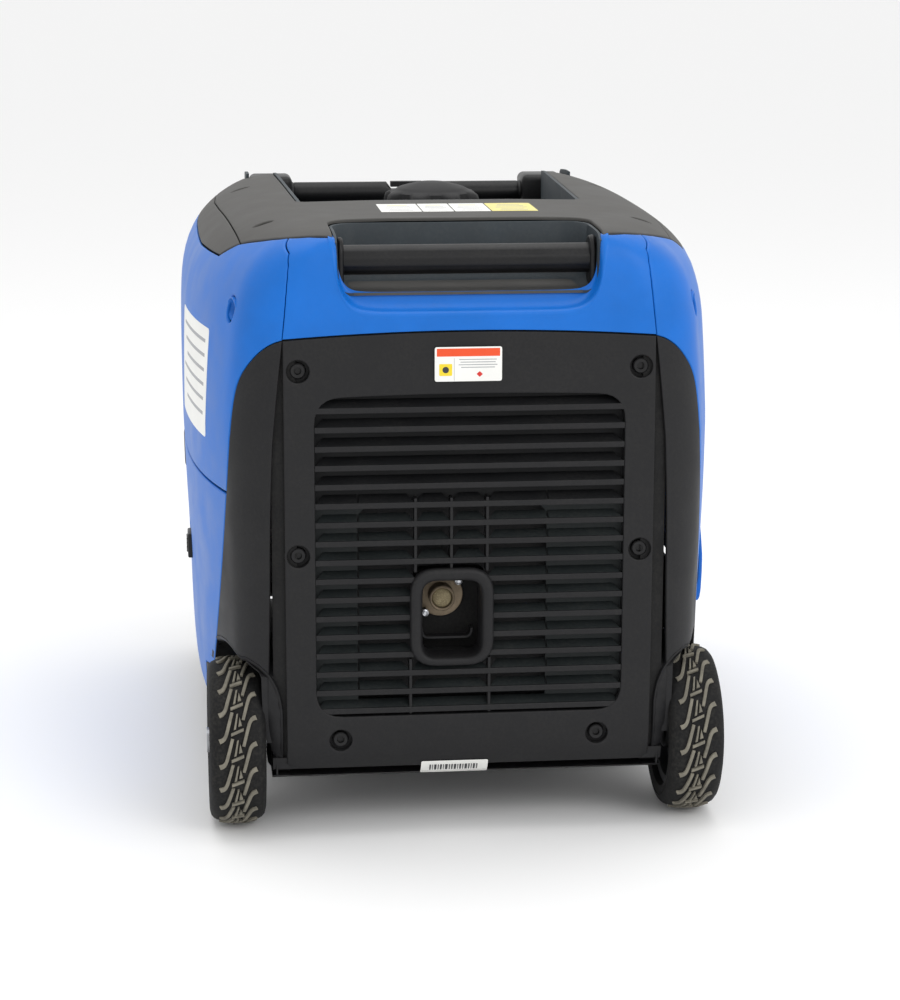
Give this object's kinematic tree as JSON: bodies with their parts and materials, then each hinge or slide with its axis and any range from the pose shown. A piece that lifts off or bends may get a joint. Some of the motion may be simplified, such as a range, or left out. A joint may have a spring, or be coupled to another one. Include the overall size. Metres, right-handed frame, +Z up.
{
  "type": "inverter generator",
  "caption": "Closed-case inverter generator with a louvred exhaust end, rear lifting bar, pull-out handle, two treaded wheels, rubber front feet and a socket panel.",
  "frame": {"origin": "on the floor, under the middle of the machine's overall box", "axes": "+Z up, +Y towards the socket panel, -Y towards the exhaust end, +X to the right seen from the exhaust end"},
  "size_m": [0.45, 0.62, 0.505],
  "materials": {
    "casing_blue": "satin moulded plastic, azure blue",
    "casing_black": "fine-grained moulded plastic, charcoal black",
    "cover_grey": "fine-grained moulded plastic, warm dark grey",
    "liner_grey": "smooth moulded plastic, cool dark grey",
    "tube_black": "satin black powder coat on steel tube",
    "tyre_rubber": "black rubber with dusty lugs",
    "rim_plastic": "black moulded wheel centre",
    "foot_rubber": "black rubber",
    "bright_steel": "zinc plated steel",
    "engine_alloy": "sand-cast aluminium alloy",
    "heat_steel": "heat-darkened steel",
    "winding_copper": "lacquered copper windings on a steel core",
    "ceramic_white": "glazed ceramic with a rubber boot",
    "fascia_grey": "textured grey fascia",
    "lid_grey": "mid-grey moulded lid",
    "switch_red": "glossy red plastic",
    "screen_grey": "clear window over a grey-green screen",
    "terminal_brass": "plain brass",
    "label_film": "printed self-adhesive film",
    "battery_case": "dark blue battery case"
  },
  "bodies": {
    "root": {"base_tray": "casing_black", "front_feet": "foot_rubber", "wheel_axle": "bright_steel", "rear_cover": "casing_black", "cover_screws": "tube_black", "exhaust_ring": "casing_black", "left_rear_flank": "casing_black", "right_rear_flank": "casing_black", "rear_scoop_panel": "casing_blue", "left_side_panel": "casing_blue", "right_side_panel": "casing_blue", "top_cover": "cover_grey", "left_top_rail": "cover_grey", "right_top_rail": "cover_grey", "rear_pocket": "liner_grey", "rear_lift_bar": "tube_black", "top_recess": "liner_grey", "handle_sleeves": "bright_steel", "fuel_tank": "casing_black", "filler_neck": "liner_grey", "front_panel": "casing_black", "control_panel": "fascia_grey", "ac_sockets": "fascia_grey", "dc_outlets": "fascia_grey", "display": "screen_grey", "earth_terminal": "terminal_brass", "recoil_housing": "casing_black", "crankcase": "engine_alloy", "cylinder_head": "engine_alloy", "spark_plug": "ceramic_white", "alternator_stator": "winding_copper", "carburettor": "engine_alloy", "air_filter_box": "casing_black", "muffler": "heat_steel", "tail_pipe": "heat_steel", "inverter_module": "engine_alloy", "battery": "battery_case", "label_plates": "label_film"},
    "left_wheel": {"left_tyre": "tyre_rubber", "left_rim": "rim_plastic"},
    "right_wheel": {"right_tyre": "tyre_rubber", "right_rim": "rim_plastic"},
    "pull_handle": {"handle_rods": "bright_steel", "handle_grip": "tube_black", "handle_corners": "tube_black"},
    "handle_button": {"handle_button": "casing_black"},
    "cap_insert": {"cap_insert": "liner_grey"},
    "fuel_cap": {"fuel_cap": "cover_grey"},
    "left_door": {"left_door": "casing_blue"},
    "left_door_latch": {"left_door_latch": "casing_black"},
    "right_door": {"right_door": "casing_blue"},
    "right_door_latch": {"right_door_latch": "casing_black"},
    "left_socket_lid": {"left_socket_lid": "lid_grey"},
    "right_socket_lid": {"right_socket_lid": "lid_grey"},
    "start_button": {"start_button": "switch_red"},
    "engine_switch": {"engine_switch": "switch_red"},
    "breaker_button": {"breaker_button": "casing_black"},
    "recoil_grip": {"recoil_grip": "casing_black"},
    "recoil_pulley": {"recoil_pulley": "bright_steel"},
    "crankshaft": {"crankshaft": "bright_steel"}
  },
  "joints": [
    {"name": "left_wheel_spin", "type": "hinge", "parent": "root", "child": "left_wheel", "pos_m": [-0.1885, -0.2405, 0.0695], "axis": [1, 0, 0], "continuous": true},
    {"name": "right_wheel_spin", "type": "hinge", "parent": "root", "child": "right_wheel", "pos_m": [0.1885, -0.2405, 0.0695], "axis": [1, 0, 0], "continuous": true},
    {"name": "handle_slide", "type": "slide", "parent": "root", "child": "pull_handle", "axis": [0, 1, 0], "range_m": [0, 0.36]},
    {"name": "handle_button_press", "type": "slide", "parent": "pull_handle", "child": "handle_button", "axis": [0, 0, -1], "range_m": [0, 0.0025], "stiffness_N_per_m": 600},
    {"name": "cap_lift", "type": "slide", "parent": "root", "child": "cap_insert", "axis": [0, 0, 1], "range_m": [0, 0.06]},
    {"name": "cap_turn", "type": "hinge", "parent": "cap_insert", "child": "fuel_cap", "pos_m": [0, 0.012, 0.49], "axis": [0, 0, 1], "range_deg": [0, 330]},
    {"name": "left_door_swing", "type": "hinge", "parent": "root", "child": "left_door", "pos_m": [-0.2077, -0.05, 0.0724], "axis": [0, -1, 0], "range_deg": [0, 80]},
    {"name": "left_latch_slide", "type": "slide", "parent": "left_door", "child": "left_door_latch", "axis": [0, 0, 1], "range_m": [0, 0.008]},
    {"name": "right_door_swing", "type": "hinge", "parent": "root", "child": "right_door", "pos_m": [0.2205, -0.04, 0.1632], "axis": [0, 1, 0], "range_deg": [0, 80]},
    {"name": "right_latch_slide", "type": "slide", "parent": "right_door", "child": "right_door_latch", "axis": [0, 0, 1], "range_m": [0, 0.008]},
    {"name": "left_socket_lid_swing", "type": "hinge", "parent": "root", "child": "left_socket_lid", "pos_m": [-0.102, 0.3019, 0.266], "axis": [1, 0, 0], "range_deg": [0, 110], "stiffness_Nm_per_rad": 0.02},
    {"name": "right_socket_lid_swing", "type": "hinge", "parent": "root", "child": "right_socket_lid", "pos_m": [-0.018, 0.3019, 0.266], "axis": [1, 0, 0], "range_deg": [0, 110], "stiffness_Nm_per_rad": 0.02},
    {"name": "start_button_press", "type": "slide", "parent": "root", "child": "start_button", "axis": [0, -1, 0], "range_m": [0, 0.003], "stiffness_N_per_m": 600},
    {"name": "engine_switch_turn", "type": "hinge", "parent": "root", "child": "engine_switch", "pos_m": [0.1, 0.3, 0.352], "axis": [0, 1, 0], "range_deg": [-90, 45]},
    {"name": "breaker_press", "type": "slide", "parent": "root", "child": "breaker_button", "axis": [0, -1, 0], "range_m": [0, 0.003], "stiffness_N_per_m": 600},
    {"name": "recoil_pull", "type": "slide", "parent": "root", "child": "recoil_grip", "axis": [-1, 0, 0], "range_m": [0, 0.45], "stiffness_N_per_m": 8},
    {"name": "recoil_pulley_turn", "type": "hinge", "parent": "root", "child": "recoil_pulley", "pos_m": [-0.17, 0.04, 0.17], "axis": [1, 0, 0], "range_deg": [0, 600]},
    {"name": "crankshaft_spin", "type": "hinge", "parent": "root", "child": "crankshaft", "pos_m": [0, 0.04, 0.17], "axis": [1, 0, 0], "continuous": true}
  ],
  "couplings": [
    {"joint": "recoil_pulley_turn", "follows": "recoil_pull", "rad_per_m": 21.739}
  ]
}
